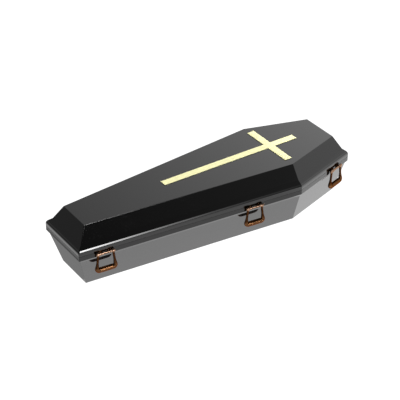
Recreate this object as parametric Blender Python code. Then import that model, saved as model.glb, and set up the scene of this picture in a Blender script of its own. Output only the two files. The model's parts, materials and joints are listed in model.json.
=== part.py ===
"""A wooden coffin: a tapered six-sided box under a raised lid, with six swinging bail handles.

Metres, +Z up. The head end is at +X and the foot end at -X. Right and left are as seen from
the foot end, so the right side is at -Y. The origin is the middle of the underside.
"""

import math

import bmesh
import bpy
from mathutils import Matrix, Vector

# Plan of the rim, the widest outline
LENGTH = 1.950
SHOULDER_FROM_FOOT = 1.466
FOOT_WIDTH = 0.390
SHOULDER_WIDTH = 0.682
HEAD_WIDTH = 0.384

# Boards
BOARD = 0.018
GAP = 0.0003

# Box: heights of its levels, and how far each lies inside the rim's outline
WALL_HEIGHT = 0.1924
WALL_TOP_INSET = 0.0146
WALL_FOOT_INSET = 0.0666
RAIL_FACE_BOTTOM = 0.2124
RAIL_TOP = 0.2424
RAIL_UNDER_ROUND = 0.004

# Lid: the lip's nose, the ledge above it, the sloping boards and the panel
LIP_FACE_TOP = 0.2494
NOSE_BELLY_RADIUS = 0.080
NOSE_BELLY_ANGLE = math.radians(14)
NOSE_TIP_RADIUS = 0.020
NOSE_TIP_ANGLE = math.radians(52.3)
LEDGE_INSET = 0.033
LEDGE_TOP = 0.2979
LID_TOP = 0.3872
PANEL_INSET = 0.085

# Cross on the lid
CROSS_THICK = 0.003
CROSS_FOOT_X = -0.288
CROSS_HEAD_X = 0.686
CROSS_BAR_WIDTH = 0.048
CROSS_ARM_X = 0.4925
CROSS_ARM_WIDTH = 0.050
CROSS_ARM_SPAN = 0.392

# Handles: where each one sits along its board, from the board's foot end
HANDLE_PLACES = (("foot", "long", 0.159), ("waist", "long", 1.137), ("shoulder", "shoulder", 0.352))
ROD_OUT = 0.0125
ROD_HEIGHT = 0.232
ROD_RADIUS = 0.0060
ROD_SIDES = 16
ROD_HEAD_RADIUS = 0.0082
ROD_HEAD_LENGTH = 0.0050
# The head's dome, as shares of its length and radius
ROD_HEAD_DOME = ((0.0, 1.0), (0.5, 0.97), (0.82, 0.78), (1.0, 0.40))
EYE_AT = 0.0468
EYE_RADIUS = 0.0092
EYE_WIDTH = 0.0165
RUNNING_GAP = 0.0004
BAIL_DROP = 0.1086
BAIL_FOOT_AT = 0.0590
BAIL_ARM_RADIUS = 0.0070
BAIL_GRIP_RADIUS = 0.0158
BAIL_CORNER_RADIUS = 0.0125
BAIL_CORNER_STEPS = 4
BAIL_SIDES = 10
GRIP_STRAIGHT = 0.037
# Where rings sit along an arm, and how far each ring from eye to grip has swelled to the grip's radius
BAIL_ARM_STATIONS = (0.04, 0.55, 0.80)
BAIL_SWELL = (0, 0.12, 0.22, 0.31, 0.37, 0.43, 0.50, 0.58, 1, 1)
LUG_AT = 0.0336
LUG_WIDTH = 0.009
LUG_BOSS_RADIUS = 0.0086
LUG_BOSS_START = math.radians(60)
LUG_BOSS_END = math.radians(250)
LUG_BOSS_STEPS = 7
LUG_WEB_LOW = 0.2180
LUG_WEB_HIGH = 0.2392
FLANGE_THICK = 0.0035
FLANGE_INNER = 0.0150
FLANGE_OUTER = 0.0381
FLANGE_BOTTOM = 0.2150
FLANGE_TOP = 0.2412
FLANGE_CORNER = 0.004
BORE_REACH = 0.1

# Shading
SHARP_ANGLE = math.radians(35)

# Colours: linear RGB
LACQUER_BLACK = (0.006, 0.006, 0.007)
INSIDE_BROWN = (0.16, 0.09, 0.05)
CROSS_CREAM = (0.93, 0.91, 0.51)
AGED_COPPER = (0.38, 0.15, 0.06)


def clear_scene():
    for thing in list(bpy.data.objects):
        bpy.data.objects.remove(thing, do_unlink=True)


def principled(name, colour, roughness, metallic=0.0):
    material = bpy.data.materials.new(name)
    material.use_nodes = True
    shader = material.node_tree.nodes["Principled BSDF"]
    shader.inputs["Base Color"].default_value = (*colour, 1.0)
    shader.inputs["Roughness"].default_value = roughness
    shader.inputs["Metallic"].default_value = metallic
    return material


# Outline

def rim_corners():
    """The rim's six corners in plan, counter-clockwise from the right foot corner."""
    foot, head = -LENGTH / 2, LENGTH / 2
    shoulder = foot + SHOULDER_FROM_FOOT
    right = [(foot, -FOOT_WIDTH / 2), (shoulder, -SHOULDER_WIDTH / 2), (head, -HEAD_WIDTH / 2)]
    left = [(x, -y) for x, y in reversed(right)]
    return [Vector(point) for point in right + left]


CORNERS = rim_corners()
SIDES = ("right_long", "right_shoulder", "head", "left_shoulder", "left_long", "foot")


def side_direction(index):
    """Unit vector along side number index, counter-clockwise."""
    start, end = CORNERS[index % 6], CORNERS[(index + 1) % 6]
    return (end - start).normalized()


def inset_corner(index, inset):
    """Corner number index of the outline moved in by inset on both of its sides."""
    before, after = side_direction(index - 1), side_direction(index)
    bisector = Vector((-before.y - after.y, before.x + after.x)).normalized()
    inward = Vector((-after.y, after.x))
    return CORNERS[index % 6] + bisector * (inset / bisector.dot(inward))


def mitre_setback(index):
    """How far a board's end stands back along the board, for half a gap at the mitre."""
    turn = side_direction(index - 1).angle(side_direction(index))
    return GAP / 2 / math.cos(turn / 2)


# Mesh helpers

def add_object(name, mesh, material):
    thing = bpy.data.objects.new(name, mesh)
    bpy.context.scene.collection.objects.link(thing)
    mesh.materials.clear()
    mesh.materials.append(material)
    return thing


def mesh_from_loops(name, loops):
    """A closed mesh through loops of equal length, capped at both ends."""
    bm = bmesh.new()
    rings = [[bm.verts.new(point) for point in loop] for loop in loops]
    for lower, upper in zip(rings, rings[1:]):
        for i in range(len(lower)):
            j = (i + 1) % len(lower)
            bm.faces.new((lower[i], lower[j], upper[j], upper[i]))
    bm.faces.new(rings[0])
    bm.faces.new(rings[-1])
    bmesh.ops.recalc_face_normals(bm, faces=bm.faces)
    mesh = bpy.data.meshes.new(name)
    bm.to_mesh(mesh)
    bm.free()
    return mesh


def arc(centre, radius, start, end, steps):
    """Points on a circle, from angle start to angle end, both included."""
    angles = [start + (end - start) * i / steps for i in range(steps + 1)]
    return [(centre[0] + radius * math.cos(a), centre[1] + radius * math.sin(a)) for a in angles]


def boolean(thing, other, operation):
    """Joins or cuts with another object, which is kept as a hidden guide."""
    modifier = thing.modifiers.new(operation.lower(), "BOOLEAN")
    modifier.operation = operation
    modifier.object = other
    other.hide_render = True
    other.hide_set(True)
    other.display_type = "WIRE"


# Boards and mouldings, each a section of (inset, height) points run along one side

def mitred_board(name, side, section, material):
    start, end = inset_loop(side, section, side), inset_loop(side, section, side + 1)
    return add_object(name, mesh_from_loops(name, [start, end]), material)


def inset_loop(side, section, corner):
    """The section's points on the mitre at one end of the side."""
    step = side_direction(side) * mitre_setback(corner)
    sign = 1 if corner == side else -1
    return [(*(inset_corner(corner, inset) + sign * step), height) for inset, height in section]


def plate(name, levels, material):
    """A six-sided plate through levels of (inset, height)."""
    loops = [[(*inset_corner(i, inset), height) for i in range(6)] for inset, height in levels]
    return add_object(name, mesh_from_loops(name, loops), material)


def wall_inset(height):
    """Inset of the box wall's outer face at a height."""
    share = height / WALL_HEIGHT
    return WALL_FOOT_INSET + (WALL_TOP_INSET - WALL_FOOT_INSET) * share


def wall_thickness():
    """Level thickness of the leaning wall."""
    lean = math.atan2(WALL_FOOT_INSET - WALL_TOP_INSET, WALL_HEIGHT)
    return BOARD / math.cos(lean)


def wall_section():
    top = WALL_HEIGHT - GAP
    outer = [(wall_inset(0), 0), (wall_inset(top), top)]
    inner = [(inset + wall_thickness(), height) for inset, height in reversed(outer)]
    return outer + inner


def rail_section():
    """The box's top rail: a flat face, a rounded lower edge and an undercut down to the wall."""
    inner = WALL_TOP_INSET + wall_thickness()
    undercut = math.atan2(WALL_TOP_INSET, RAIL_FACE_BOTTOM - WALL_HEIGHT)
    tangent = RAIL_UNDER_ROUND * math.tan(undercut / 2)
    centre = (RAIL_UNDER_ROUND, RAIL_FACE_BOTTOM + tangent)
    under = arc(centre, RAIL_UNDER_ROUND, math.pi, math.pi + undercut, 2)
    top = [(inner, RAIL_TOP), (0, RAIL_TOP)]
    return top + under + [(WALL_TOP_INSET, WALL_HEIGHT), (inner, WALL_HEIGHT)]


def lip_section():
    """The lid's lip: a face that bellies back, a tight nose, then the ledge."""
    bottom = RAIL_TOP + GAP
    top = LEDGE_TOP - GAP
    belly = arc((NOSE_BELLY_RADIUS, LIP_FACE_TOP), NOSE_BELLY_RADIUS, math.pi, math.pi - NOSE_BELLY_ANGLE, 3)
    reach = NOSE_BELLY_RADIUS - NOSE_TIP_RADIUS
    centre = (
        NOSE_BELLY_RADIUS - reach * math.cos(NOSE_BELLY_ANGLE),
        LIP_FACE_TOP + reach * math.sin(NOSE_BELLY_ANGLE),
    )
    tip = arc(centre, NOSE_TIP_RADIUS, math.pi - NOSE_BELLY_ANGLE, math.pi - NOSE_TIP_ANGLE, 4)
    inner = [(LEDGE_INSET, top), (slope_inner_inset(LEDGE_TOP), top)]
    seat = [(WALL_TOP_INSET + wall_thickness(), bottom)]
    return [(0, bottom)] + belly + tip[1:] + inner + seat


def slope_inset(height):
    """Inset of the lid's sloping outer face at a height."""
    share = (height - LEDGE_TOP) / (LID_TOP - LEDGE_TOP)
    return LEDGE_INSET + (PANEL_INSET - LEDGE_INSET) * share


def slope_angle():
    return math.atan2(LID_TOP - LEDGE_TOP, PANEL_INSET - LEDGE_INSET)


def slope_inner_inset(height):
    return slope_inset(height) + BOARD / math.sin(slope_angle())


def panel_mitre_inset():
    """Inset of the mitre's lower edge, where panel and sloping board meet inside."""
    half_corner = (math.pi - slope_angle()) / 2
    return PANEL_INSET + BOARD / math.tan(half_corner)


def slope_section():
    outer = [(slope_inset(LEDGE_TOP), LEDGE_TOP), (PANEL_INSET, LID_TOP)]
    inner = [(panel_mitre_inset(), LID_TOP - BOARD), (slope_inner_inset(LEDGE_TOP), LEDGE_TOP)]
    return outer + inner


def cross_outline():
    """The cross in plan, as the outline's two halves either side of the middle line."""
    bar, reach = CROSS_BAR_WIDTH / 2, CROSS_ARM_SPAN / 2
    arm_foot, arm_head = CROSS_ARM_X - CROSS_ARM_WIDTH / 2, CROSS_ARM_X + CROSS_ARM_WIDTH / 2
    right = [
        (CROSS_FOOT_X, -bar),
        (arm_foot, -bar),
        (arm_foot, -reach),
        (arm_head, -reach),
        (arm_head, -bar),
        (CROSS_HEAD_X, -bar),
    ]
    return right + [(x, -y) for x, y in reversed(right)]


def make_box(lacquer, inside):
    inner = wall_thickness() + GAP
    levels = [(wall_inset(height) + inner, height) for height in (0, BOARD)]
    plate("base_board", levels, inside)
    for index, side in enumerate(SIDES):
        mitred_board(f"{side}_wall", index, wall_section(), lacquer)
        mitred_board(f"{side}_rail", index, rail_section(), lacquer)


def make_lid(lacquer):
    for index, side in enumerate(SIDES):
        mitred_board(f"lid_{side}_lip", index, lip_section(), lacquer)
        mitred_board(f"lid_{side}_slope", index, slope_section(), lacquer)
    levels = [(panel_mitre_inset() + GAP, LID_TOP - BOARD), (PANEL_INSET + GAP, LID_TOP)]
    plate("lid_panel", levels, lacquer)


def make_cross(cream):
    bottom = LID_TOP + GAP
    loops = [[(x, y, height) for x, y in cross_outline()] for height in (bottom, bottom + CROSS_THICK)]
    add_object("lid_cross", mesh_from_loops("lid_cross", loops), cream)


# Handles. Each is modelled about the middle of its rod: x along the rod, y into the coffin, z up

def turned(profile, sides):
    """A mesh turned about the x axis, from a profile of (x, radius) points."""
    angles = [math.tau * i / sides for i in range(sides)]
    loops = [[(x, radius * math.cos(a), radius * math.sin(a)) for a in angles] for x, radius in profile]
    return mesh_from_loops("turned", loops)


def rod_mesh():
    """A plain rod with a domed head at each end, outside the bail's eyes."""
    shoulder = EYE_AT + EYE_WIDTH / 2 + RUNNING_GAP
    head = [(shoulder + ROD_HEAD_LENGTH * along, ROD_HEAD_RADIUS * wide) for along, wide in ROD_HEAD_DOME]
    half = [(shoulder, ROD_RADIUS)] + head
    return turned([(-x, radius) for x, radius in reversed(half)] + half, ROD_SIDES)


def bail_line():
    """Centre line of the bail's right half, from the eye to the middle of the grip, as (x, z, radius)."""
    eye, corner = Vector((EYE_AT, 0)), Vector((BAIL_FOOT_AT, -BAIL_DROP))
    up, across = (eye - corner).normalized(), Vector((-1, 0))
    half = up.angle(across) / 2
    tangent = BAIL_CORNER_RADIUS / math.tan(half)
    centre = corner + (up + across).normalized() * (BAIL_CORNER_RADIUS / math.sin(half))
    start, end = corner + up * tangent - centre, corner + across * tangent - centre
    first, sweep = math.atan2(start.y, start.x), -start.angle(end)
    corner_arc = arc(centre, BAIL_CORNER_RADIUS, first, first + sweep, BAIL_CORNER_STEPS)
    bend = [Vector(p) for p in corner_arc]
    arm = [eye.lerp(bend[0], share) for share in BAIL_ARM_STATIONS]
    grip = [Vector((x, -BAIL_DROP)) for x in (GRIP_STRAIGHT, 0)]
    spread = BAIL_GRIP_RADIUS - BAIL_ARM_RADIUS
    return [(p.x, p.y, BAIL_ARM_RADIUS + spread * share) for p, share in zip(arm + bend + grip, BAIL_SWELL)]


def bail_bar_mesh():
    """The bent bar: two arms that open downwards and a thicker grip."""
    half = bail_line()
    line = half + [(-x, z, radius) for x, z, radius in reversed(half[:-1])]
    angles = [math.tau * i / BAIL_SIDES for i in range(BAIL_SIDES)]
    loops = []
    for i, (x, z, radius) in enumerate(line):
        before, after = line[max(i - 1, 0)], line[min(i + 1, len(line) - 1)]
        along = Vector((after[0] - before[0], 0, after[1] - before[1])).normalized()
        across = along.cross(Vector((0, 1, 0)))
        ring = [Vector((x, radius * math.cos(a), z)) + across * (radius * math.sin(a)) for a in angles]
        loops.append(ring)
    return mesh_from_loops("bail_bar", loops)


def lug_profile():
    """Side view of the lug, (y, z): a boss round the rod, carried down and back to the flange."""
    back = ROD_OUT - GAP - FLANGE_THICK / 2
    boss = arc((0, 0), LUG_BOSS_RADIUS, LUG_BOSS_START, LUG_BOSS_END, LUG_BOSS_STEPS)
    return boss + [(back, LUG_WEB_LOW - ROD_HEIGHT), (back, LUG_WEB_HIGH - ROD_HEIGHT)]


def flange_outline(sign):
    """Front view of the flange, (x, z): a plate with rounded corners."""
    middle_x, half_x = (FLANGE_OUTER + FLANGE_INNER) / 2, (FLANGE_OUTER - FLANGE_INNER) / 2
    middle_z, half_z = (FLANGE_TOP + FLANGE_BOTTOM) / 2 - ROD_HEIGHT, (FLANGE_TOP - FLANGE_BOTTOM) / 2
    outline = []
    for quarter, (sx, sz) in enumerate(((1, 1), (-1, 1), (-1, -1), (1, -1))):
        centre_x = sign * middle_x + sx * (half_x - FLANGE_CORNER)
        centre_z = middle_z + sz * (half_z - FLANGE_CORNER)
        start = math.pi / 2 * quarter
        outline += arc((centre_x, centre_z), FLANGE_CORNER, start, start + math.pi / 2, 3)
    return outline


def rod_bore(name, material):
    """A cutter for the hole that the rod runs through."""
    radius = ROD_RADIUS + RUNNING_GAP
    return add_object(name, turned([(-BORE_REACH, radius), (BORE_REACH, radius)], ROD_SIDES), material)


def lug_object(name, sign, material):
    """A cast lug: a flange on the rail with a web and boss that hold the rod."""
    ends = [sign * (LUG_AT - LUG_WIDTH / 2), sign * (LUG_AT + LUG_WIDTH / 2)]
    web = mesh_from_loops(f"{name}_web_mesh", [[(x, y, z) for y, z in lug_profile()] for x in ends])
    web = add_object(f"{name}_web", web, material)
    seat = ROD_OUT - GAP
    loops = [[(x, y, z) for x, z in flange_outline(sign)] for y in (seat - FLANGE_THICK, seat)]
    flange = add_object(name, mesh_from_loops(name, loops), material)
    bore = rod_bore(f"{name}_bore", material)
    boolean(flange, web, "UNION")
    boolean(flange, bore, "DIFFERENCE")
    return flange, (web, bore)


def bail_object(name, material):
    bail = add_object(name, bail_bar_mesh(), material)
    guides = []
    for sign in (-1, 1):
        ends = [sign * EYE_AT - EYE_WIDTH / 2, sign * EYE_AT + EYE_WIDTH / 2]
        eye = turned([(x, EYE_RADIUS) for x in ends], ROD_SIDES)
        guides.append(add_object(f"{name}_eye{len(guides)}", eye, material))
        boolean(bail, guides[-1], "UNION")
    guides.append(rod_bore(f"{name}_bore", material))
    boolean(bail, guides[-1], "DIFFERENCE")
    return bail, guides


def handle_frame(hand, board, along):
    """Matrix of a handle: its rod's middle, with y pointing into the coffin."""
    index = SIDES.index(f"{hand}_{board}")
    direction = side_direction(index)
    start = CORNERS[index] + direction * along
    if hand == "left":
        start = CORNERS[(index + 1) % 6] - direction * along
    outward = Vector((direction.y, -direction.x))
    middle = start + outward * ROD_OUT
    turn = math.atan2(direction.y, direction.x)
    return Matrix.Translation((middle.x, middle.y, ROD_HEIGHT)) @ Matrix.Rotation(turn, 4, "Z")


def make_handle(name, matrix, copper):
    axis = bpy.data.objects.new(f"{name}_axis", None)
    bpy.context.scene.collection.objects.link(axis)
    axis.matrix_world = matrix
    things = [add_object(f"{name}_rod", rod_mesh(), copper)]
    bail, guides = bail_object(f"{name}_bail", copper)
    things += [bail, *guides]
    for number, sign in enumerate((-1, 1), start=1):
        lug, guides = lug_object(f"{name}_lug_{number}", sign, copper)
        things += [lug, *guides]
    for thing in things:
        thing.parent = axis


def make_handles(copper):
    for hand in ("right", "left"):
        for place, board, along in HANDLE_PLACES:
            make_handle(f"{hand}_{place}", handle_frame(hand, board, along), copper)


def shade(thing):
    thing.data.shade_smooth()
    thing.data.set_sharp_from_angle(angle=SHARP_ANGLE)


def main():
    clear_scene()
    lacquer = principled("black_lacquer", LACQUER_BLACK, 0.12)
    inside = principled("inside_board", INSIDE_BROWN, 0.6)
    cream = principled("cream_cross", CROSS_CREAM, 0.45)
    copper = principled("aged_copper", AGED_COPPER, 0.35, metallic=1.0)
    make_box(lacquer, inside)
    make_lid(lacquer)
    make_cross(cream)
    make_handles(copper)
    for thing in bpy.data.objects:
        if thing.type == "MESH":
            shade(thing)


main()
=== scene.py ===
"""The looks of a wooden coffin: black lacquer, a cream cross and six aged copper bail handles.

Metres, +Z up, with the origin at the middle of the underside. The head end is at +X and the right
side at -Y.
"""

import json
import math

import bmesh
import bpy
from mathutils import Matrix, Vector


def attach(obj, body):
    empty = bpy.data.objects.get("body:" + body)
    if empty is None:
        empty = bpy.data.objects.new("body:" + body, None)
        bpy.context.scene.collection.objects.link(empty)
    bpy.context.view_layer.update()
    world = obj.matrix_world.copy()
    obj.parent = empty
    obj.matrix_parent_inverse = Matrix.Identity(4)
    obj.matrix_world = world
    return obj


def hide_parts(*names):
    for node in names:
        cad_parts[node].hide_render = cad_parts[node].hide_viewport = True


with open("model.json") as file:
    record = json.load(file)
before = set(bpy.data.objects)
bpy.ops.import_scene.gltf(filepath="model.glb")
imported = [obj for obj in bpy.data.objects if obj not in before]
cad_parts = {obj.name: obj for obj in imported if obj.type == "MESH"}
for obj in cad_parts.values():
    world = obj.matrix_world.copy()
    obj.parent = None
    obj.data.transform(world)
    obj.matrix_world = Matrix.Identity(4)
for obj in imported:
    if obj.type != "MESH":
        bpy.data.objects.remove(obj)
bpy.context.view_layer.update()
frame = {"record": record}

SIDES = ("right_long", "right_shoulder", "head", "left_shoulder", "left_long", "foot")
LACQUERED, BARE = 0, 1

# Plan of the rim, the widest outline
LENGTH = 1.950
SHOULDER_FROM_FOOT = 1.466
FOOT_WIDTH = 0.390
SHOULDER_WIDTH = 0.682
HEAD_WIDTH = 0.384

# Boards, and the hairline left at a joint
BOARD = 0.018
SEAM = 0.0001

# Box: heights of its levels, and how far each lies inside the rim's outline
WALL_HEIGHT = 0.1924
WALL_TOP_INSET = 0.0146
WALL_FOOT_INSET = 0.0666
RAIL_FACE_BOTTOM = 0.2124
RAIL_TOP = 0.2424
RAIL_UNDER_ROUND = 0.004

# Lid
NOSE_RADIUS = 0.028
NOSE_TURN = math.radians(52.3)
NOSE_STEPS = 20
LEDGE_INSET = 0.033
LEDGE_TOP = 0.2979
LID_TOP = 0.3872
PANEL_INSET = 0.085

# Softened edges: in section along a board, and in plan at the six corners
ARRIS = 0.0006
FOOT_ARRIS = 0.0010
PANEL_ARRIS = 0.0022
RIM_CORNER = 0.0050
WALL_CORNER = 0.0035
SLOPE_CORNER = 0.0030
HIDDEN_CORNER = 0.0003
ARC_STEPS = 4
# A point this far beyond each bend keeps the flat beside it flat, in section and along a board
HOLD = 0.0004
RUN_HOLD = 4 * HOLD
RUN_STEPS = 6
# An edge that turns by more than this, in degrees, is shaded sharp
BOARD_SHARP = 30
PLATE_SHARP = 40
TURNED_SHARP = 30
CAST_SHARP = 45

# Cross
CROSS_GAP = 0.0003
CROSS_THICK = 0.003
CROSS_FOOT_X = -0.288
CROSS_HEAD_X = 0.686
CROSS_BAR_WIDTH = 0.048
CROSS_ARM_X = 0.4925
CROSS_ARM_WIDTH = 0.050
CROSS_ARM_SPAN = 0.392
CROSS_ARRIS = 0.0006

# Handles, from the board's foot end, and each handle about the middle of its rod
HANDLE_PLACES = (("foot", "long", 0.159), ("waist", "long", 1.137), ("shoulder", "shoulder", 0.352))
ROD_OUT = 0.0125
ROD_HEIGHT = 0.232
RUNNING_GAP = 0.0004

# Rod, with the rim and the dome of its heads
ROD_RADIUS = 0.0060
ROD_SIDES = 48
ROD_HEAD_RADIUS = 0.0082
ROD_HEAD_LENGTH = 0.0050
ROD_HEAD_RIM = ROD_HEAD_LENGTH * 0.35
ROD_HEAD_ARRIS = 0.0004
ROD_DOME_TURN = math.radians(86)
ROD_DOME_STEPS = 12
ROD_DOME_FULLNESS = 0.75

# Bail: its eyes, and its bar, which swells between two points of its centre line
EYE_AT = 0.0468
EYE_RADIUS = 0.0092
EYE_WIDTH = 0.0165
EYE_ROUND = 0.0018
EYE_ROUND_STEPS = 5
BAIL_DROP = 0.1086
BAIL_FOOT_AT = 0.0590
BAIL_ARM_RADIUS = 0.0070
BAIL_GRIP_RADIUS = 0.0158
BAIL_CORNER_RADIUS = 0.0125
BAIL_SIDES = 32
ARM_START = 0.03
ARM_STEPS = 20
BEND_STEPS = 12
GRIP_STEPS = 12
SWELL_FROM_POINT = 11
SWELL_TO_POINT = 35

# Lug: a boss round the rod, a web and a flange
LUG_AT = 0.0336
LUG_WIDTH = 0.009
LUG_BOSS_RADIUS = 0.0086
LUG_BOSS_START = math.radians(60)
LUG_BOSS_END = math.radians(250)
LUG_BOSS_STEPS = 18
LUG_WEB_LOW = 0.2180
LUG_WEB_HIGH = 0.2392
FLANGE_SEAT_GAP = 0.0003
FLANGE_THICK = 0.0035
FLANGE_INNER = 0.0150
FLANGE_OUTER = 0.0381
FLANGE_BOTTOM = 0.2150
FLANGE_TOP = 0.2412
FLANGE_CORNER = 0.004
FLANGE_CORNER_STEPS = 6

# Castings: size of the skin's cells, passes of smoothing, and share of the faces kept
BAIL_VOXEL = 0.0008
BAIL_SMOOTHING = 4
BAIL_KEEP = 0.45
LUG_VOXEL = 0.0005
LUG_SMOOTHING = 3
LUG_KEEP = 0.5
BORE_REACH = 0.1

# Screws, which sink a little into the flange, with their slots turned by so many degrees
SCREW_AT = 0.0222
SCREW_FROM_EDGE = 0.0062
SCREW_RADIUS = 0.0033
SCREW_SIDES = 32
SCREW_DOME = 0.0008
SCREW_DOME_TURN = math.radians(88)
SCREW_DOME_STEPS = 8
SCREW_SUNK = 0.0006
SCREW_NECK = 0.9
SCREW_SLOT_WIDTH = 0.0009
SCREW_SLOT_DEPTH = 0.0008
SCREW_TURN = 35
SCREW_TURN_STEP = 50

# Wear of the copper, from 0, browned, to 1, rubbed bright
ROD_WEAR = 0.94
EYE_WEAR = 0.95
GRIP_WEAR = 0.44
LUG_WEAR = 0.20
ARM_WEAR = 0.10
# From where the eye's wear fades and the grip's builds up, in their own radii, and over how far
EYE_WEAR_FROM = 0.6
EYE_WEAR_RUN = 0.8
GRIP_WEAR_FROM = 2.2
GRIP_WEAR_RUN = 1.6

# Lacquer: refractive index, pigment and range of haze on each kind of board. It is one lacquer; the
# walls' higher index and paler pigment are painted light, the rails' lower index painted shade
HAZE = (0.03, 0.06)
SLOPE_HAZE = (0.015, 0.035)
LACQUERS = {
    "wall": (1.83, 0.010, HAZE),
    "rail": (1.43, 0.0004, HAZE),
    "lip": (1.49, 0.0004, HAZE),
    "slope": (1.50, 0.0004, SLOPE_HAZE),
    "panel": (1.50, 0.0004, HAZE),
}
LACQUER_TINTS = ((0.7, 0.7, 0.8), (1.3, 1.25, 1.25))
LACQUER_GRAIN = (3.0, 90.0, 90.0)
HAZE_SCALE = 7.0
PEEL_SCALE = 190.0
GRAIN_RELIEF = 0.00003
PEEL_RELIEF = 0.00001

# Bare wood: scales of its bands and pores along and across a board, colours, gloss and relief
WOOD_BANDS = (1.4, 26.0, 26.0)
WOOD_PORES = (22.0, 700.0, 700.0)
EARLY_WOOD = (0.40, 0.25, 0.13)
LATE_WOOD = (0.20, 0.105, 0.05)
WOOD_ROUGHNESS = (0.48, 0.68)
BAND_RELIEF = 0.0002
PORE_RELIEF = 0.0001

# Cream paint
BRUSH_LINES = (12.0, 420.0, 420.0)
COAT_SCALE = 14.0
THIN_CREAM = (0.90, 0.87, 0.475)
FULL_CREAM = (0.93, 0.90, 0.50)
CREAM_ROUGHNESS = (0.42, 0.56)
BRUSH_RELIEF = 0.00006

# Copper: colours by wear, what edges and clouds of tarnish add to the wear, gloss and relief
BROWNED_COPPER = (0.020, 0.007, 0.002)
DULL_COPPER = (0.100, 0.046, 0.020)
RUBBED_COPPER = (0.26, 0.165, 0.115)
COPPER_EDGE_TINT = (0.56, 0.33, 0.20)
EDGE_WEAR = (-0.10, 0.14)
EDGE_POINTINESS = (0.46, 0.56)
CLOUD_WEAR = (-0.12, 0.12)
CLOUD_RANGE = (0.35, 0.65)
TARNISH_SCALE = 120.0
COPPER_ROUGHNESS = (0.20, 0.30)
CAST_SKIN_SCALE = 900.0
CAST_SKIN_RELIEF = 0.00008

# Camera: it looks at the origin from this bearing and height, with the target a little off centre
CAMERA_AZIMUTH = math.radians(-34.1097)
CAMERA_ELEVATION = math.radians(33.1717)
CAMERA_DISTANCE = 8.0868
CAMERA_RIGHT = -0.01885
CAMERA_UP = -0.13914
CAMERA_LENS = 118.15
CAMERA_SENSOR = 36
CAMERA_REACH = 100

# Floor, and the white that the camera sees of it
FLOOR_HALF = 30.0
FLOOR_DROP = 0.0005
PAPER_WHITE = 1.15
# What the lacquer mirrors of the floor's glow: its radiance, a painted pool of light towards the head,
# its dimming far beyond the foot end, and a painted shadow just beyond the foot end
FLOOR_RADIANCE = 1.45
HEAD_GLOW = 0.62
HEAD_GLOW_X = (0.50, 0.95)
HEAD_GLOW_OUT = (0.47, 0.66)
FOOT_FADE = 0.80
FOOT_FADE_X = (-1.60, -1.22)
FOOT_SHADE = 0.98
FOOT_SHADE_START = (-1.145, -1.112)
FOOT_SHADE_END = (-0.90, -0.84)
FOOT_SHADE_Y = (-0.15, -0.09)
# Broad glows in the surroundings: bearing and height in degrees, radiance, sharpness
GLOWS = (
    (32, 20, 2.9, 11.6),
    (-17, 22, 1.3, 14.0),
    (-38, 24, 0.65, 10.0),
    (-28, 1, 1.4, 400.0),
    (122, 26, 0.31, 2.0),
    (128, 16, 0.35, 180.0),
)
# A key light in front of the foot end, fading towards the head, in two tiers that each rise and
# fall again between four heights
KEY_RADIANCE = 34.0
KEY_START = (0.25, 0.29)
KEY_END = 0.315
KEY_FADE = 0.030
KEY_FRONT = (0.0, 0.1)
KEY_TIERS = ((0.16, 0.19, 0.34, 0.355), (0.405, 0.42, 0.62, 0.66))
# Wash: a broad lamp, its bearing and height in degrees, distance, strength and spread
WASH_FROM = (10, 62)
WASH_DISTANCE = 5
WASH_STRENGTH = 2.35
WASH_SPREAD = math.radians(24)

# Sockets of the mix node by number, because each kind of value has its own
MIX_FLOAT_A = 2
MIX_FLOAT_B = 3
MIX_FLOAT_RESULT = 0
MIX_COLOUR_A = 6
MIX_COLOUR_B = 7
MIX_COLOUR_RESULT = 2


# Outline

def rim_corners():
    """The rim's six corners in plan, counter-clockwise from the right foot corner."""
    foot, head = -LENGTH / 2, LENGTH / 2
    shoulder = foot + SHOULDER_FROM_FOOT
    right = [(foot, -FOOT_WIDTH / 2), (shoulder, -SHOULDER_WIDTH / 2), (head, -HEAD_WIDTH / 2)]
    left = [(x, -y) for x, y in reversed(right)]
    return [Vector(point) for point in right + left]


CORNERS = rim_corners()


def rim_corner(index):
    """Corner number index of the rim, counted round and round."""
    return CORNERS[index % len(CORNERS)]


def side_direction(index):
    """Unit vector along side number index, counter-clockwise."""
    return (rim_corner(index + 1) - rim_corner(index)).normalized()


def inset_corner(index, inset):
    """Corner number index of the outline moved in by inset on both of its sides."""
    before, after = side_direction(index - 1), side_direction(index)
    bisector = Vector((-before.y - after.y, before.x + after.x)).normalized()
    inward = Vector((-after.y, after.x))
    return rim_corner(index) + bisector * (inset / bisector.dot(inward))


def half_corner(side, at_end, inset, radius):
    """Plan points of a rounded corner, from its mitre to where the side runs straight."""
    corner = side + 1 if at_end else side
    along = -side_direction(side) if at_end else side_direction(side)
    ahead = side_direction(side)
    inward = Vector((-ahead.y, ahead.x))
    half_turn = side_direction(corner - 1).angle(side_direction(corner)) / 2
    tangent = inset_corner(corner, inset) + along * (radius * math.tan(half_turn))
    centre = tangent + inward * radius
    points = []
    for step in range(ARC_STEPS + 1):
        angle = half_turn * (1 - step / ARC_STEPS)
        points.append(centre - inward * (radius * math.cos(angle)) - along * (radius * math.sin(angle)))
    return points


# Meshes

def add_object(name, mesh, *materials):
    thing = bpy.data.objects.new(name, mesh)
    bpy.context.scene.collection.objects.link(thing)
    mesh.materials.clear()
    for material in materials:
        mesh.materials.append(material)
    return thing


def smooth(mesh, sharp_above):
    """Shades a mesh smooth, apart from edges that turn by more than an angle in degrees."""
    mesh.shade_smooth()
    mesh.set_sharp_from_angle(angle=math.radians(sharp_above))


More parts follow.
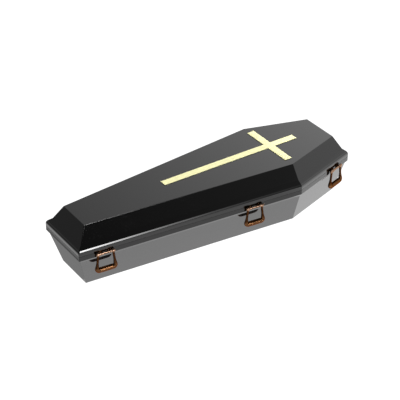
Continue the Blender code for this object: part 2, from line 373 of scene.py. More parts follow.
def mesh_from_loops(name, loops, skins=None):
    """A closed mesh through loops of equal length, capped at both ends."""
    bm = bmesh.new()
    rings = [[bm.verts.new(point) for point in loop] for loop in loops]
    for lower, upper in zip(rings, rings[1:]):
        for i in range(len(lower)):
            j = (i + 1) % len(lower)
            face = bm.faces.new((lower[i], lower[j], upper[j], upper[i]))
            face.material_index = skins[i] if skins else LACQUERED
    for ring in (rings[0], rings[-1]):
        bm.faces.new(ring)
    bmesh.ops.recalc_face_normals(bm, faces=bm.faces)
    mesh = bpy.data.meshes.new(name)
    bm.to_mesh(mesh)
    bm.free()
    return mesh


def arc(centre, radius, start, end, steps):
    """Points on a circle, from angle start to angle end, both included."""
    angles = [start + (end - start) * i / steps for i in range(steps + 1)]
    return [(centre[0] + radius * math.cos(a), centre[1] + radius * math.sin(a)) for a in angles]


def fillet(before, here, after, radius, steps=ARC_STEPS):
    """Points that round the corner here between its neighbours, and one more beyond each end."""
    back, ahead = (before - here).normalized(), (after - here).normalized()
    half = back.angle(ahead) / 2
    reach = radius / math.tan(half)
    centre = here + (back + ahead).normalized() * (radius / math.sin(half))
    spoke = here + back * reach - centre
    turn = (math.pi - 2 * half) * (1 if spoke.cross(ahead) > 0 else -1)
    bend = [centre + Matrix.Rotation(turn * i / steps, 2) @ spoke for i in range(steps + 1)]
    return [here + back * (reach + HOLD)] + bend + [here + ahead * (reach + HOLD)]


def rounded(corners):
    """Section points (inset, height, plan radius, skin) from corners that also give an edge radius."""
    points = []
    for i, (inset, height, edge, plan, skin) in enumerate(corners):
        if not edge:
            points.append((inset, height, plan, skin))
            continue
        before, after = corners[i - 1], corners[(i + 1) % len(corners)]
        bend = fillet(Vector(before[:2]), Vector((inset, height)), Vector(after[:2]), edge)
        points += [(point.x, point.y, plan, skin) for point in bend]
    return points


def mark_grain(mesh, side, section):
    """Stores how far each vertex lies along its board, and across it round the section."""
    across, travelled = [0.0], 0.0
    for before, after in zip(section, section[1:]):
        travelled += math.dist(before[:2], after[:2])
        across.append(travelled)
    direction = side_direction(side)
    attribute = mesh.attributes.new("grain", "FLOAT_VECTOR", "POINT")
    for index, vertex in enumerate(mesh.vertices):
        along = Vector(vertex.co[:2]).dot(direction)
        attribute.data[index].vector = (along, across[index % len(section)], side + vertex.co.z)


def board(name, side, section, *materials):
    """A mitred board or moulding along one side, its outer edges rounded in plan at both corners."""
    ahead = side_direction(side)
    setback, hold = ahead * (SEAM / 2), ahead * RUN_HOLD
    columns = []
    for inset, height, plan, _ in section:
        start = [point + setback for point in half_corner(side, False, inset, plan)]
        end = [point - setback for point in half_corner(side, True, inset, plan)]
        inner, outer = start[-1] + hold, end[-1] - hold
        middle = [inner.lerp(outer, step / RUN_STEPS) for step in range(RUN_STEPS + 1)]
        columns.append([(*point, height) for point in start + middle + end[::-1]])
    mesh = mesh_from_loops(name, list(zip(*columns)), [skin for *_, skin in section])
    mark_grain(mesh, side, section)
    smooth(mesh, BOARD_SHARP)
    return add_object(name, mesh, *materials)


def plate(name, levels, *materials):
    """A six-sided plate through levels of (inset, height, plan radius)."""
    loops = []
    for inset, height, plan in levels:
        loop = []
        for side in range(len(SIDES)):
            loop += half_corner(side, False, inset, plan)
            loop += half_corner(side, True, inset, plan)[::-1][:-1]
        loops.append([(*point, height) for point in loop])
    mesh = mesh_from_loops(name, loops)
    attribute = mesh.attributes.new("grain", "FLOAT_VECTOR", "POINT")
    for index, vertex in enumerate(mesh.vertices):
        attribute.data[index].vector = vertex.co
    smooth(mesh, PLATE_SHARP)
    return add_object(name, mesh, *materials)


# Sections

def wall_inset(height):
    """Inset of the box wall's outer face at a height."""
    share = height / WALL_HEIGHT
    return WALL_FOOT_INSET + (WALL_TOP_INSET - WALL_FOOT_INSET) * share


def wall_thickness():
    """Level thickness of the leaning wall."""
    lean = math.atan2(WALL_FOOT_INSET - WALL_TOP_INSET, WALL_HEIGHT)
    return BOARD / math.cos(lean)


def slope_angle():
    return math.atan2(LID_TOP - LEDGE_TOP, PANEL_INSET - LEDGE_INSET)


def slope_inner_inset():
    return LEDGE_INSET + BOARD / math.sin(slope_angle())


def panel_mitre_inset():
    """Inset of the mitre's lower edge, where panel and sloping board meet inside."""
    return PANEL_INSET + BOARD / math.tan((math.pi - slope_angle()) / 2)


def wall_section():
    top, inner = WALL_HEIGHT - SEAM, wall_thickness()
    return rounded([
        (wall_inset(0), 0, FOOT_ARRIS, WALL_CORNER, LACQUERED),
        (wall_inset(top), top, 0, WALL_CORNER, BARE),
        (wall_inset(top) + inner, top, 0, HIDDEN_CORNER, BARE),
        (wall_inset(0) + inner, 0, 0, HIDDEN_CORNER, BARE),
    ])


def rail_section():
    inner = WALL_TOP_INSET + wall_thickness()
    return rounded([
        (inner, RAIL_TOP, 0, HIDDEN_CORNER, BARE),
        (0, RAIL_TOP, ARRIS, RIM_CORNER, LACQUERED),
        (0, RAIL_FACE_BOTTOM, RAIL_UNDER_ROUND, RIM_CORNER, LACQUERED),
        (WALL_TOP_INSET, WALL_HEIGHT, 0, WALL_CORNER, BARE),
        (inner, WALL_HEIGHT, 0, HIDDEN_CORNER, BARE),
    ])


def lip_section():
    """The lid's lip: an upright face, a rounded nose, then the ledge that slopes up to the lid."""
    bottom = RAIL_TOP + SEAM
    nose_inset = NOSE_RADIUS * (1 - math.cos(NOSE_TURN))
    ledge_rise = (LEDGE_INSET - nose_inset) / math.tan(NOSE_TURN)
    face_top = LEDGE_TOP - ledge_rise - NOSE_RADIUS * math.sin(NOSE_TURN)
    bend = arc((NOSE_RADIUS, face_top), NOSE_RADIUS, math.pi, math.pi - NOSE_TURN, NOSE_STEPS)
    nose = [(inset, height, 0, RIM_CORNER, LACQUERED) for inset, height in bend]
    seat = WALL_TOP_INSET + wall_thickness()
    return rounded(
        [(0, bottom, ARRIS, RIM_CORNER, LACQUERED)]
        + nose
        + [
            (LEDGE_INSET, LEDGE_TOP, 0, SLOPE_CORNER, BARE),
            (slope_inner_inset(), LEDGE_TOP, 0, HIDDEN_CORNER, BARE),
            (seat, bottom, 0, HIDDEN_CORNER, BARE),
        ]
    )


def top_edge():
    """Points that round the lid's top edge, from the sloping board to the panel."""
    foot = Vector((LEDGE_INSET, LEDGE_TOP))
    edge = Vector((PANEL_INSET, LID_TOP))
    return fillet(foot, edge, edge + Vector((1, 0)), PANEL_ARRIS, 2 * ARC_STEPS)


def slope_section():
    bend = top_edge()
    outer = [(point.x, point.y, SLOPE_CORNER, LACQUERED) for point in bend[: len(bend) // 2 + 1]]
    outer[-1] = (*outer[-1][:3], BARE)
    return [(LEDGE_INSET, LEDGE_TOP + SEAM, SLOPE_CORNER, LACQUERED)] + outer + [
        (panel_mitre_inset(), LID_TOP - BOARD, HIDDEN_CORNER, BARE),
        (slope_inner_inset(), LEDGE_TOP + SEAM, HIDDEN_CORNER, BARE),
    ]


def panel_levels():
    bend = top_edge()
    outer = [(point.x + SEAM, point.y, SLOPE_CORNER) for point in bend[len(bend) // 2:]]
    return [(panel_mitre_inset() + SEAM, LID_TOP - BOARD, HIDDEN_CORNER)] + outer


def base_levels():
    inner = wall_thickness() + SEAM
    heights = (0, HOLD, BOARD - HOLD, BOARD)
    return [(wall_inset(height) + inner, height, HIDDEN_CORNER) for height in heights]


# Materials

def new_material(name):
    material = bpy.data.materials.new(name)
    material.use_nodes = True
    return material, material.node_tree, material.node_tree.nodes["Principled BSDF"]


def node(tree, kind, inputs=None, **settings):
    made = tree.nodes.new(kind)
    for key, value in settings.items():
        setattr(made, key, value)
    for key, value in (inputs or {}).items():
        socket = made.inputs[key]
        if isinstance(value, bpy.types.NodeSocket):
            tree.links.new(value, socket)
        else:
            socket.default_value = value
    return made


def stretched(tree, vector, scale):
    """A vector with each of its axes multiplied by scale."""
    return node(tree, "ShaderNodeMapping", {"Vector": vector, "Scale": scale}).outputs["Vector"]


def grain_vector(tree, scale):
    """Coordinates that run along each board, stretched by scale."""
    grain = node(tree, "ShaderNodeAttribute", attribute_name="grain")
    return stretched(tree, grain.outputs["Vector"], scale)


def noise(tree, vector, scale, detail=2.0, roughness=0.5):
    inputs = {"Vector": vector, "Scale": scale, "Detail": detail, "Roughness": roughness}
    return node(tree, "ShaderNodeTexNoise", inputs).outputs["Fac"]


def spread(tree, value, low, high, start=0.3, end=0.7):
    """A value from low to high as another goes from start to end, the usual range of a noise."""
    inputs = {"Value": value, "From Min": start, "From Max": end, "To Min": low, "To Max": high}
    return node(tree, "ShaderNodeMapRange", inputs).outputs["Result"]


def blend_colour(tree, share, first, second):
    """A colour that goes from first to second as share goes from 0 to 1."""
    made = node(tree, "ShaderNodeMix", data_type="RGBA")
    tree.links.new(share, made.inputs["Factor"])
    made.inputs[MIX_COLOUR_A].default_value = (*first, 1)
    made.inputs[MIX_COLOUR_B].default_value = (*second, 1)
    return made.outputs[MIX_COLOUR_RESULT]


def bump(tree, height, distance, strength=1.0, below=None):
    inputs = {"Height": height, "Distance": distance, "Strength": strength}
    if below:
        inputs["Normal"] = below
    return node(tree, "ShaderNodeBump", inputs).outputs["Normal"]


def ramp(tree, value, low, high, amount=1.0):
    """A smooth rise from 0 to amount as value goes from low to high."""
    inputs = {"Value": value, "From Min": low, "From Max": high, "To Min": 0.0, "To Max": amount}
    made = node(tree, "ShaderNodeMapRange", inputs, interpolation_type="SMOOTHSTEP")
    return made.outputs["Result"]


def math_node(tree, operation, first, second=None):
    inputs = {0: first} if second is None else {0: first, 1: second}
    return node(tree, "ShaderNodeMath", inputs, operation=operation).outputs[0]


def reach_along(tree, vector, axis):
    """How far a vector reaches along an axis."""
    inputs = {0: vector, 1: axis}
    return node(tree, "ShaderNodeVectorMath", inputs, operation="DOT_PRODUCT").outputs["Value"]


def white_to_camera(tree, level):
    """A strength that is paper white where the camera sees it, and level in light and reflections."""
    seen = node(tree, "ShaderNodeLightPath").outputs["Is Camera Ray"]
    strength = node(tree, "ShaderNodeMix", {"Factor": seen}, data_type="FLOAT")
    tree.links.new(level, strength.inputs[MIX_FLOAT_A])
    strength.inputs[MIX_FLOAT_B].default_value = PAPER_WHITE
    return strength.outputs[MIX_FLOAT_RESULT]


def lacquer(name, ior, pigment, haze_range):
    """Gloss black over boards: the grain telegraphs faintly, and rubbing has hazed it in places."""
    material, tree, shader = new_material(name)
    streaks = noise(tree, grain_vector(tree, LACQUER_GRAIN), 1.0, detail=5.0, roughness=0.6)
    low, high = [tuple(pigment * share for share in tint) for tint in LACQUER_TINTS]
    colour = blend_colour(tree, spread(tree, streaks, 0.0, 1.0), low, high)
    tree.links.new(colour, shader.inputs["Base Color"])
    place = node(tree, "ShaderNodeTexCoord").outputs["Object"]
    haze = noise(tree, place, HAZE_SCALE, detail=4.0)
    tree.links.new(spread(tree, haze, *haze_range), shader.inputs["Roughness"])
    peel = noise(tree, place, PEEL_SCALE, detail=1.0)
    normal = bump(tree, streaks, GRAIN_RELIEF, strength=0.5)
    normal = bump(tree, peel, PEEL_RELIEF, strength=0.5, below=normal)
    tree.links.new(normal, shader.inputs["Normal"])
    shader.inputs["IOR"].default_value = ior
    return material


def planed_wood(name):
    """Bare softwood: bands of early and late wood with fine pores, and a satin sheen."""
    material, tree, shader = new_material(name)
    bands = noise(tree, grain_vector(tree, WOOD_BANDS), 1.0, detail=3.0, roughness=0.55)
    pores = noise(tree, grain_vector(tree, WOOD_PORES), 1.0, detail=3.0)
    colour = blend_colour(tree, spread(tree, bands, 0.0, 1.0), EARLY_WOOD, LATE_WOOD)
    tree.links.new(colour, shader.inputs["Base Color"])
    tree.links.new(spread(tree, pores, *WOOD_ROUGHNESS), shader.inputs["Roughness"])
    normal = bump(tree, bands, BAND_RELIEF, strength=0.5)
    normal = bump(tree, pores, PORE_RELIEF, strength=0.6, below=normal)
    tree.links.new(normal, shader.inputs["Normal"])
    return material


def cream_paint(name):
    """Cream paint on a thin board: faint brush lines and a slightly uneven coat."""
    material, tree, shader = new_material(name)
    place = node(tree, "ShaderNodeTexCoord").outputs["Object"]
    brush = noise(tree, stretched(tree, place, BRUSH_LINES), 1.0, detail=3.0)
    coat = noise(tree, place, COAT_SCALE, detail=3.0)
    colour = blend_colour(tree, spread(tree, coat, 0.0, 1.0), THIN_CREAM, FULL_CREAM)
    tree.links.new(colour, shader.inputs["Base Color"])
    tree.links.new(spread(tree, brush, *CREAM_ROUGHNESS), shader.inputs["Roughness"])
    tree.links.new(bump(tree, brush, BRUSH_RELIEF, strength=0.5), shader.inputs["Normal"])
    return material


def aged_copper(name):
    """Copper plate: rubbed bright where hands reach, browned elsewhere, with a fine cast skin."""
    material, tree, shader = new_material(name)
    place = node(tree, "ShaderNodeTexCoord").outputs["Object"]
    clouds = noise(tree, place, TARNISH_SCALE, detail=4.0, roughness=0.6)
    specks = noise(tree, place, CAST_SKIN_SCALE, detail=2.0)
    worn = node(tree, "ShaderNodeAttribute", attribute_name="wear").outputs["Fac"]
    edges = node(tree, "ShaderNodeNewGeometry").outputs["Pointiness"]
    worn = math_node(tree, "ADD", worn, spread(tree, edges, *EDGE_WEAR, *EDGE_POINTINESS))
    worn = math_node(tree, "ADD", worn, spread(tree, clouds, *CLOUD_WEAR, *CLOUD_RANGE))
    ramp_node = node(tree, "ShaderNodeValToRGB", {"Fac": worn})
    stops = ramp_node.color_ramp.elements
    stops[0].position, stops[0].color = 0.0, (*BROWNED_COPPER, 1)
    stops[1].position, stops[1].color = 1.0, (*RUBBED_COPPER, 1)
    stops.new(0.5).color = (*DULL_COPPER, 1)
    tree.links.new(ramp_node.outputs["Color"], shader.inputs["Base Color"])
    shader.inputs["Metallic"].default_value = 1.0
    shader.inputs["Specular Tint"].default_value = (*COPPER_EDGE_TINT, 1)
    tree.links.new(spread(tree, clouds, *COPPER_ROUGHNESS), shader.inputs["Roughness"])
    tree.links.new(bump(tree, specks, CAST_SKIN_RELIEF, strength=0.4), shader.inputs["Normal"])
    return material


# Pieces

def dress(piece, node_name):
    """Puts a piece in the place of a node, on the node's body."""
    for body, members in frame["record"]["behaviour"]["bodies"].items():
        if node_name in members:
            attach(piece, body)
    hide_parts(node_name)


def make_box(lacquers, wood):
    base = plate("base_board_planed", base_levels(), wood)
    dress(base, "base_board")
    for index, side in enumerate(SIDES):
        wall = board(f"{side}_wall_board", index, wall_section(), lacquers["wall"], wood)
        dress(wall, f"{side}_wall")
        rail = board(f"{side}_rail_moulding", index, rail_section(), lacquers["rail"], wood)
        dress(rail, f"{side}_rail")


def make_lid(lacquers, wood):
    for index, side in enumerate(SIDES):
        lip = board(f"lid_{side}_lip_moulding", index, lip_section(), lacquers["lip"], wood)
        dress(lip, f"lid_{side}_lip")
        slope = board(f"lid_{side}_slope_board", index, slope_section(), lacquers["slope"], wood)
        dress(slope, f"lid_{side}_slope")
    panel = plate("lid_panel_board", panel_levels(), lacquers["panel"])
    dress(panel, "lid_panel")


def make_cross(paint):
    bar, reach = CROSS_BAR_WIDTH / 2, CROSS_ARM_SPAN / 2
    arm_foot, arm_head = CROSS_ARM_X - CROSS_ARM_WIDTH / 2, CROSS_ARM_X + CROSS_ARM_WIDTH / 2
    right = [
        (CROSS_FOOT_X, -bar),
        (arm_foot, -bar),
        (arm_foot, -reach),
        (arm_head, -reach),
        (arm_head, -bar),
        (CROSS_HEAD_X, -bar),
    ]
    outline = right + [(x, -y) for x, y in reversed(right)]
    bottom = LID_TOP + CROSS_GAP
    loops = [[(x, y, height) for x, y in outline] for height in (bottom, bottom + CROSS_THICK)]
    mesh = mesh_from_loops("lid_cross_painted", loops)
    bm = bmesh.new()
    bm.from_mesh(mesh)
    bmesh.ops.bevel(bm, geom=bm.edges, offset=CROSS_ARRIS, segments=3, profile=0.5, affect="EDGES")
    bm.to_mesh(mesh)
    bm.free()
    smooth(mesh, PLATE_SHARP)
    dress(add_object("lid_cross_painted", mesh, paint), "lid_cross")


# Handles. Each is modelled about the middle of its rod: x along the rod, y into the coffin, z up

def turned(profile, sides=ROD_SIDES):
    """A mesh turned about the x axis, from a profile of (x, radius) points."""
    angles = [math.tau * i / sides for i in range(sides)]
    loops = [[(x, radius * math.cos(a), radius * math.sin(a)) for a in angles] for x, radius in profile]
    return mesh_from_loops("turned", loops)


def rod_mesh():
    """A plain rod with a domed head at each end, outside the bail's eyes."""
    shoulder = EYE_AT + EYE_WIDTH / 2 + RUNNING_GAP
    half = [
        (shoulder - HOLD, ROD_RADIUS),
        (shoulder, ROD_RADIUS),
        (shoulder, ROD_HEAD_RADIUS - ROD_HEAD_ARRIS),
        (shoulder + ROD_HEAD_ARRIS, ROD_HEAD_RADIUS),
    ]
    dome_length = ROD_HEAD_LENGTH - ROD_HEAD_RIM
    for step in range(ROD_DOME_STEPS + 1):
        angle = ROD_DOME_TURN * step / ROD_DOME_STEPS
        x = shoulder + ROD_HEAD_RIM + dome_length * math.sin(angle)
        half.append((x, ROD_HEAD_RADIUS * math.cos(angle) ** ROD_DOME_FULLNESS))
    mesh = turned([(-x, radius) for x, radius in reversed(half)] + half)
    smooth(mesh, TURNED_SHARP)
    return mesh


def ease(share):
    """A share from 0 to 1 that starts and ends gently."""
    share = min(max(share, 0.0), 1.0)
    return share * share * (3 - 2 * share)


def bail_line():
    """Centre line of the bail's right half, from its eye to mid-grip, as (x, z, radius)."""
    eye, corner = Vector((EYE_AT, 0)), Vector((BAIL_FOOT_AT, -BAIL_DROP))
    up, across = (eye - corner).normalized(), Vector((-1, 0))
    half = up.angle(across) / 2
    tangent = BAIL_CORNER_RADIUS / math.tan(half)
    centre = corner + (up + across).normalized() * (BAIL_CORNER_RADIUS / math.sin(half))
    start, end = corner + up * tangent - centre, corner + across * tangent - centre
    first, sweep = math.atan2(start.y, start.x), -start.angle(end)
    bend = [Vector(p) for p in arc(centre, BAIL_CORNER_RADIUS, first, first + sweep, BEND_STEPS)]
    reach = 1 - ARM_START
    arm = [eye.lerp(bend[0], ARM_START + reach * step / ARM_STEPS) for step in range(ARM_STEPS)]
    middle = Vector((0, -BAIL_DROP))
    grip = [bend[-1].lerp(middle, step / GRIP_STEPS) for step in range(1, GRIP_STEPS + 1)]
    points = arm + bend + grip
    travelled = [0.0]
    for before, after in zip(points, points[1:]):
        travelled.append(travelled[-1] + (after - before).length)
    swell_start, swell_end = travelled[SWELL_FROM_POINT], travelled[SWELL_TO_POINT]
    line = []
    for point, distance in zip(points, travelled):
        share = ease((distance - swell_start) / (swell_end - swell_start))
        radius = BAIL_ARM_RADIUS + (BAIL_GRIP_RADIUS - BAIL_ARM_RADIUS) * share
        line.append((point.x, point.y, radius))
    return line


def bail_bar_mesh():
    """The bent bar: two arms that open downwards and a thicker grip."""
    half = bail_line()
    line = half + [(-x, z, radius) for x, z, radius in reversed(half[:-1])]
    angles = [math.tau * i / BAIL_SIDES for i in range(BAIL_SIDES)]
    loops = []
    for i, (x, z, radius) in enumerate(line):
        before, after = line[max(i - 1, 0)], line[min(i + 1, len(line) - 1)]
        along = Vector((after[0] - before[0], 0, after[1] - before[1])).normalized()
        across = along.cross(Vector((0, 1, 0)))
        ring = [Vector((x, radius * math.cos(a), z)) + across * (radius * math.sin(a)) for a in angles]
        loops.append(ring)
    return mesh_from_loops("bail_bar", loops)


def eye_mesh(sign):
    """A drum with rounded rims, which the arm runs into."""
    left, right = sign * EYE_AT - EYE_WIDTH / 2, sign * EYE_AT + EYE_WIDTH / 2
    level = EYE_RADIUS - EYE_ROUND
    low = arc((left + EYE_ROUND, level), EYE_ROUND, math.pi, math.pi / 2, EYE_ROUND_STEPS)
    high = arc((right - EYE_ROUND, level), EYE_ROUND, math.pi / 2, 0, EYE_ROUND_STEPS)
    return turned(low + high)


def apply_modifiers(thing):
    depsgraph = bpy.context.evaluated_depsgraph_get()
    mesh = bpy.data.meshes.new_from_object(thing.evaluated_get(depsgraph))
    thing.modifiers.clear()
    thing.data = mesh


def boolean(thing, other, operation):
    """Joins or cuts with another object, then removes it."""
    modifier = thing.modifiers.new(operation.lower(), "BOOLEAN")
    modifier.operation = operation
    modifier.object = other
    apply_modifiers(thing)
    bpy.data.objects.remove(other, do_unlink=True)


def cast(thing, voxel, passes, keep):
    """Fuses a rough solid into one skin with softened edges, as a casting has."""
    remesh = thing.modifiers.new("skin", "REMESH")
    remesh.mode = "VOXEL"
    remesh.voxel_size = voxel
    soften = thing.modifiers.new("soften", "SMOOTH")
    soften.factor = 0.5
    soften.iterations = passes
    thin = thing.modifiers.new("thin", "DECIMATE")
    thin.ratio = keep
    apply_modifiers(thing)


def rod_bore():
    """A cutter for the hole that the rod runs through."""
    radius = ROD_RADIUS + RUNNING_GAP
    return add_object("bore", turned([(-BORE_REACH, radius), (BORE_REACH, radius)]))


def finished(work, sharp_above):
    """The smoothed mesh of a work object, which is removed."""
    mesh = work.data
    bpy.data.objects.remove(work, do_unlink=True)
    smooth(mesh, sharp_above)
    return mesh


def bail_mesh():
    bail = add_object("bail_work", bail_bar_mesh())
    for sign in (-1, 1):
        boolean(bail, add_object("eye_work", eye_mesh(sign)), "UNION")
    cast(bail, BAIL_VOXEL, BAIL_SMOOTHING, BAIL_KEEP)
    boolean(bail, rod_bore(), "DIFFERENCE")
    return finished(bail, CAST_SHARP)


def lug_profile():
    """Side view of the lug, (y, z): a boss round the rod, carried down and back to the flange."""
    back = ROD_OUT - FLANGE_SEAT_GAP - FLANGE_THICK / 2
    boss = arc((0, 0), LUG_BOSS_RADIUS, LUG_BOSS_START, LUG_BOSS_END, LUG_BOSS_STEPS)
    return boss + [(back, LUG_WEB_LOW - ROD_HEIGHT), (back, LUG_WEB_HIGH - ROD_HEIGHT)]


def flange_outline(sign):
    """Front view of the flange, (x, z): a plate with rounded corners."""
    middle_x, half_x = (FLANGE_OUTER + FLANGE_INNER) / 2, (FLANGE_OUTER - FLANGE_INNER) / 2
    middle_z, half_z = (FLANGE_TOP + FLANGE_BOTTOM) / 2 - ROD_HEIGHT, (FLANGE_TOP - FLANGE_BOTTOM) / 2
    outline = []
    for quarter, (sx, sz) in enumerate(((1, 1), (-1, 1), (-1, -1), (1, -1))):
        centre_x = sign * middle_x + sx * (half_x - FLANGE_CORNER)
        centre_z = middle_z + sz * (half_z - FLANGE_CORNER)
        start = math.pi / 2 * quarter
        end = start + math.pi / 2
        outline += arc((centre_x, centre_z), FLANGE_CORNER, start, end, FLANGE_CORNER_STEPS)
    return outline


def lug_mesh(sign):
    """A cast lug: a flange on the rail, and a web and boss that hold the rod."""
    ends = [sign * (LUG_AT - LUG_WIDTH / 2), sign * (LUG_AT + LUG_WIDTH / 2)]
    web = mesh_from_loops("web_work", [[(x, y, z) for y, z in lug_profile()] for x in ends])
    seat = ROD_OUT - FLANGE_SEAT_GAP
    loops = [[(x, y, z) for x, z in flange_outline(sign)] for y in (seat - FLANGE_THICK, seat)]
    lug = add_object("lug_work", mesh_from_loops("lug_work", loops))
    boolean(lug, add_object("web_work", web), "UNION")
    cast(lug, LUG_VOXEL, LUG_SMOOTHING, LUG_KEEP)
    boolean(lug, rod_bore(), "DIFFERENCE")
    return finished(lug, CAST_SHARP)


def screw_mesh():
    """A raised slotted screw head that faces -y, with its seat at y = 0."""
    profile = [(SCREW_SUNK, SCREW_RADIUS * SCREW_NECK)]
    for step in range(SCREW_DOME_STEPS + 1):
        angle = SCREW_DOME_TURN * step / SCREW_DOME_STEPS
        profile.append((-SCREW_DOME * math.sin(angle), SCREW_RADIUS * math.cos(angle)))
    head = add_object("screw_work", turned(profile, SCREW_SIDES))
    head.data.transform(Matrix.Rotation(math.pi / 2, 4, "Z"))
    half = SCREW_SLOT_WIDTH / 2
    sides = [(-half, -SCREW_RADIUS), (half, -SCREW_RADIUS), (half, SCREW_RADIUS), (-half, SCREW_RADIUS)]
    depth = -SCREW_DOME + SCREW_SLOT_DEPTH
    slot = [[(x, y, z) for x, z in sides] for y in (-SCREW_DOME * 2, depth)]
    boolean(head, add_object("slot_work", mesh_from_loops("slot_work", slot)), "DIFFERENCE")
    return finished(head, TURNED_SHARP)


def handle_frame(hand, board_name, along):
    """Matrix of a handle: its rod's middle, with y pointing into the coffin."""
    index = SIDES.index(f"{hand}_{board_name}")
    direction = side_direction(index)
    start = rim_corner(index) + direction * along
    if hand == "left":
        start = rim_corner(index + 1) - direction * along
    outward = Vector((direction.y, -direction.x))
    middle = start + outward * ROD_OUT
    turn = math.atan2(direction.y, direction.x)
    return Matrix.Translation((middle.x, middle.y, ROD_HEIGHT)) @ Matrix.Rotation(turn, 4, "Z")


def mark_wear(mesh, wear):
    """Stores how far handling has worn each vertex bright, from 0 to 1."""
    attribute = mesh.attributes.new("wear", "FLOAT", "POINT")
    for index, vertex in enumerate(mesh.vertices):
        attribute.data[index].value = wear(vertex.co)


def bail_wear(point):
    """Bright at the eyes, dark down the arms and part worn on the grip."""
    below = -point.z
    eye = 1 - ease((below - EYE_RADIUS * EYE_WEAR_FROM) / (EYE_RADIUS * EYE_WEAR_RUN))
    above_grip = BAIL_GRIP_RADIUS * GRIP_WEAR_FROM
    grip = ease((below - BAIL_DROP + above_grip) / (BAIL_GRIP_RADIUS * GRIP_WEAR_RUN))
    return max(eye * EYE_WEAR, ARM_WEAR + (GRIP_WEAR - ARM_WEAR) * grip)


def lug_wear(point):
    """Bright on the boss, in front of the rod's middle, and dull behind it."""
    return EYE_WEAR if point.y < 0 else LUG_WEAR


def placed(name, mesh, matrix, material):
    """A piece with its own copy of a mesh, set in place."""
    own = mesh.copy()
    own.transform(matrix)
    return add_object(name, own, material)


def make_screws(name, sign, matrix, mesh, copper):
    """Two screws in a lug's flange, each stopped at its own angle."""
    face = ROD_OUT - FLANGE_SEAT_GAP - FLANGE_THICK
    heights = FLANGE_BOTTOM + SCREW_FROM_EDGE, FLANGE_TOP - SCREW_FROM_EDGE
    for number, height in enumerate(heights, start=1):
        angle = math.radians(SCREW_TURN + SCREW_TURN_STEP * number * sign)
        turn = Matrix.Rotation(angle, 4, "Y")
        at = Matrix.Translation((sign * SCREW_AT, face, height - ROD_HEIGHT)) @ turn
        piece = placed(f"{name}_screw_{number}", mesh, matrix @ at, copper)
        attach(piece, "root")


def make_handles(copper):
    bail, rod, screw = bail_mesh(), rod_mesh(), screw_mesh()
    lugs = {sign: lug_mesh(sign) for sign in (-1, 1)}
    mark_wear(bail, bail_wear)
    mark_wear(rod, lambda point: ROD_WEAR)
    mark_wear(screw, lambda point: LUG_WEAR)
    for lug in lugs.values():
        mark_wear(lug, lug_wear)
    for hand in ("right", "left"):
        for place, board_name, along in HANDLE_PLACES:
            name, matrix = f"{hand}_{place}", handle_frame(hand, board_name, along)
            dress(placed(f"{name}_bail_cast", bail, matrix, copper), f"{name}_bail")
            dress(placed(f"{name}_rod_turned", rod, matrix, copper), f"{name}_rod")
            for number, sign in enumerate((-1, 1), start=1):
                lug = placed(f"{name}_lug_{number}_cast", lugs[sign], matrix, copper)
                dress(lug, f"{name}_lug_{number}")
                make_screws(f"{name}_lug_{number}", sign, matrix, screw, copper)


# Stage, light and camera

def aim(azimuth, elevation):
    """Unit vector at a bearing from +X towards +Y, and a height above the horizon, in degrees."""
    a, e = math.radians(azimuth), math.radians(elevation)
    return Vector((math.cos(e) * math.cos(a), math.cos(e) * math.sin(a), math.sin(e)))


def white_floor(name):
    """White light table, over-exposed for the camera; its glow has a painted light pool and painted
    shadow.
    """
    material = bpy.data.materials.new(name)
    material.use_nodes = True
    tree = material.node_tree
    place = node(tree, "ShaderNodeTexCoord").outputs["Object"]
    axes = node(tree, "ShaderNodeSeparateXYZ", {"Vector": place}).outputs
    shoulder = side_direction(SIDES.index("right_shoulder"))
    # A painted pool of light towards the head, in the glow that reflections see
    head = ramp(tree, axes["X"], *HEAD_GLOW_X, HEAD_GLOW)
    out = ramp(tree, reach_along(tree, place, (shoulder.y, -shoulder.x, 0)), *HEAD_GLOW_OUT)
    head = math_node(tree, "MULTIPLY", head, out)
    near = math_node(tree, "ADD", ramp(tree, axes["X"], *FOOT_FADE_X, FOOT_FADE), 1 - FOOT_FADE)
    base = math_node(tree, "MULTIPLY", near, FLOOR_RADIANCE)
    # A painted shadow beyond the foot end, in the glow that reflections see
    shade = ramp(tree, axes["X"], *FOOT_SHADE_START, FOOT_SHADE)
    past = math_node(tree, "SUBTRACT", 1.0, ramp(tree, axes["X"], *FOOT_SHADE_END))
    shade = math_node(tree, "MULTIPLY", shade, past)
    shade = math_node(tree, "MULTIPLY", shade, ramp(tree, axes["Y"], *FOOT_SHADE_Y))
    level = math_node(tree, "SUBTRACT", math_node(tree, "ADD", head, base), shade)
    glow = node(tree, "ShaderNodeEmission", {"Strength": white_to_camera(tree, level)})
    tree.links.new(glow.outputs["Emission"], tree.nodes["Material Output"].inputs["Surface"])
    return material


def make_floor():
    mesh = bpy.data.meshes.new("floor")
    corners = [(x * FLOOR_HALF, y * FLOOR_HALF, 0) for x, y in ((-1, -1), (1, -1), (1, 1), (-1, 1))]
    mesh.from_pydata(corners, [], [(0, 1, 2, 3)])
    floor = add_object("floor", mesh, white_floor("white_floor"))
    floor.location.z = -FLOOR_DROP


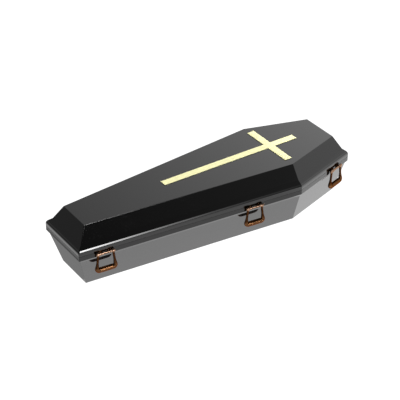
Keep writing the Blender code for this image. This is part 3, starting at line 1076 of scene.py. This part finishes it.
def key_light(tree, direction):
    """Two tiers of light in front of the foot end, seen along the lip's nose but not in the slope."""
    long_side = side_direction(SIDES.index("right_long"))
    along = reach_along(tree, direction, (*long_side, 0))
    axes = node(tree, "ShaderNodeSeparateXYZ", {"Vector": direction}).outputs
    past = math_node(tree, "MAXIMUM", math_node(tree, "SUBTRACT", along, KEY_END), 0.0)
    fade = math_node(tree, "EXPONENT", math_node(tree, "DIVIDE", past, -KEY_FADE))
    forward = math_node(tree, "MULTIPLY", axes["Y"], -1.0)
    level = math_node(tree, "MULTIPLY", fade, ramp(tree, forward, *KEY_FRONT, KEY_RADIANCE))
    level = math_node(tree, "MULTIPLY", level, ramp(tree, along, *KEY_START))
    tiers = None
    for low, full, full_end, end in KEY_TIERS:
        rise = ramp(tree, axes["Z"], low, full)
        tier = math_node(tree, "SUBTRACT", rise, ramp(tree, axes["Z"], full_end, end))
        tiers = tier if tiers is None else math_node(tree, "ADD", tiers, tier)
    return math_node(tree, "MULTIPLY", level, tiers)


def make_world():
    """A dim studio with broad glows, and plain white behind the floor's edge for the camera."""
    world = bpy.data.worlds.new("studio")
    bpy.context.scene.world = world
    world.use_nodes = True
    tree = world.node_tree
    direction = node(tree, "ShaderNodeTexCoord").outputs["Generated"]
    total = key_light(tree, direction)
    for azimuth, elevation, radiance, sharpness in GLOWS:
        cosine = reach_along(tree, direction, aim(azimuth, elevation))
        fall = math_node(tree, "MULTIPLY", math_node(tree, "SUBTRACT", cosine, 1.0), sharpness)
        glow = math_node(tree, "MULTIPLY", math_node(tree, "EXPONENT", fall), radiance)
        total = math_node(tree, "ADD", total, glow)
    background = tree.nodes["Background"]
    background.inputs["Color"].default_value = (1, 1, 1, 1)
    tree.links.new(white_to_camera(tree, total), background.inputs["Strength"])


def make_wash():
    """A broad soft lamp high towards the head end, which no surface mirrors."""
    data = bpy.data.lights.new("wash", "SUN")
    data.energy = WASH_STRENGTH
    data.angle = WASH_SPREAD
    wash = bpy.data.objects.new("wash", data)
    bpy.context.scene.collection.objects.link(wash)
    back = aim(*WASH_FROM)
    wash.location = back * WASH_DISTANCE
    wash.rotation_euler = (-back).to_track_quat("-Z", "Y").to_euler()
    wash.visible_camera = False
    wash.visible_glossy = False


def make_camera():
    bearing, height = CAMERA_AZIMUTH, CAMERA_ELEVATION
    back = Vector((
        math.sin(bearing) * math.cos(height),
        -math.cos(bearing) * math.cos(height),
        math.sin(height),
    ))
    right = Vector((math.cos(bearing), math.sin(bearing), 0))
    up = back.cross(right)
    data = bpy.data.cameras.new("camera")
    data.lens = CAMERA_LENS
    data.sensor_width = CAMERA_SENSOR
    data.clip_end = CAMERA_REACH
    camera = bpy.data.objects.new("camera", data)
    bpy.context.scene.collection.objects.link(camera)
    camera.location = back * CAMERA_DISTANCE + right * CAMERA_RIGHT - up * CAMERA_UP
    camera.rotation_euler = Matrix((right, up, back)).transposed().to_euler()
    bpy.context.scene.camera = camera


def main():
    bpy.context.scene.view_settings.view_transform = "Standard"
    make_camera()
    lacquers = {part: lacquer(f"black_lacquer_{part}", *look) for part, look in LACQUERS.items()}
    wood = planed_wood("planed_wood")
    make_box(lacquers, wood)
    make_lid(lacquers, wood)
    make_cross(cream_paint("cream_paint"))
    make_handles(aged_copper("aged_copper"))
    make_floor()
    make_world()
    make_wash()


main()
